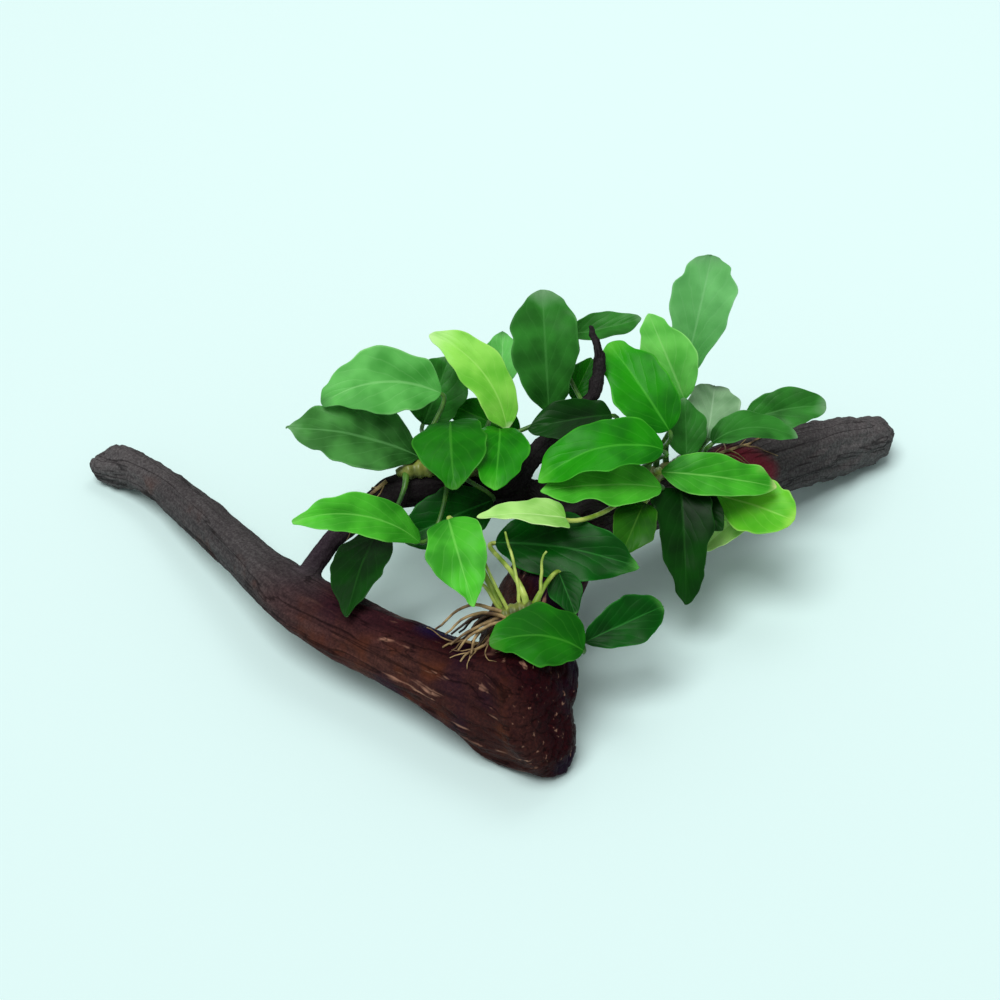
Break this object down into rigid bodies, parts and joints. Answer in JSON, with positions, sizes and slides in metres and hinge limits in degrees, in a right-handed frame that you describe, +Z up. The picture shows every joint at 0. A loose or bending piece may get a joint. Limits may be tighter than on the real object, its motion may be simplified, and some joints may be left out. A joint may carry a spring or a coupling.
{
  "type": "anubias on driftwood",
  "caption": "Freshwater plant with broad oval leaves on thin stalks, growing from creeping stems on a V-shaped piece of driftwood that lies on its thick base and the ends of its arms.",
  "frame": {"origin": "on the surface that the driftwood rests on, under the middle of the whole object's bounding box", "axes": "+X to the right and +Y to the back as seen from the front of the thick base, +Z up"},
  "size_m": [0.3584, 0.2155, 0.1293],
  "materials": {
    "wet_bark": "satin",
    "stem_skin": "matte",
    "root_skin": "matte",
    "leaf_green": "satin"
  },
  "bodies": {
    "root": {"driftwood_base": "wet_bark", "driftwood_left_arm": "wet_bark", "driftwood_right_arm": "wet_bark", "driftwood_bridge_branch": "wet_bark", "driftwood_twig": "wet_bark", "creeping_stem_left": "stem_skin", "creeping_stem_right": "stem_skin", "creeping_stem_front": "stem_skin", "root_front_left": "root_skin", "root_front_middle": "root_skin", "root_front_right": "root_skin", "root_back_left": "root_skin", "root_back_right": "root_skin", "leaf_left_upper": "leaf_green", "leaf_left_broad": "leaf_green", "leaf_left_inner": "leaf_green", "leaf_bright_narrow": "leaf_green", "leaf_back_shaded": "leaf_green", "leaf_pale_behind": "leaf_green", "leaf_centre_upright": "leaf_green", "leaf_centre_dark": "leaf_green", "leaf_centre_small": "leaf_green", "leaf_back_spiked": "leaf_green", "leaf_tall_right": "leaf_green", "leaf_tall_right_front": "leaf_green", "leaf_right_leaning": "leaf_green", "leaf_right_dark": "leaf_green", "leaf_right_grey": "leaf_green", "leaf_far_right": "leaf_green", "leaf_far_right_lower": "leaf_green", "leaf_middle_broad": "leaf_green", "leaf_middle_lower": "leaf_green", "leaf_right_bright": "leaf_green", "leaf_right_yellow": "leaf_green", "leaf_right_yellow_low": "leaf_green", "leaf_hanging_right": "leaf_green", "leaf_hanging_short": "leaf_green", "leaf_olive_inner": "leaf_green", "leaf_pale_edge": "leaf_green", "leaf_front_long": "leaf_green", "leaf_front_hanging": "leaf_green", "leaf_left_low": "leaf_green", "leaf_left_hanging": "leaf_green", "leaf_left_shaded": "leaf_green", "leaf_front_round": "leaf_green", "leaf_front_second": "leaf_green", "leaf_low_front": "leaf_green", "leaf_low_right": "leaf_green", "leaf_low_shaded": "leaf_green"}
  },
  "joints": []
}
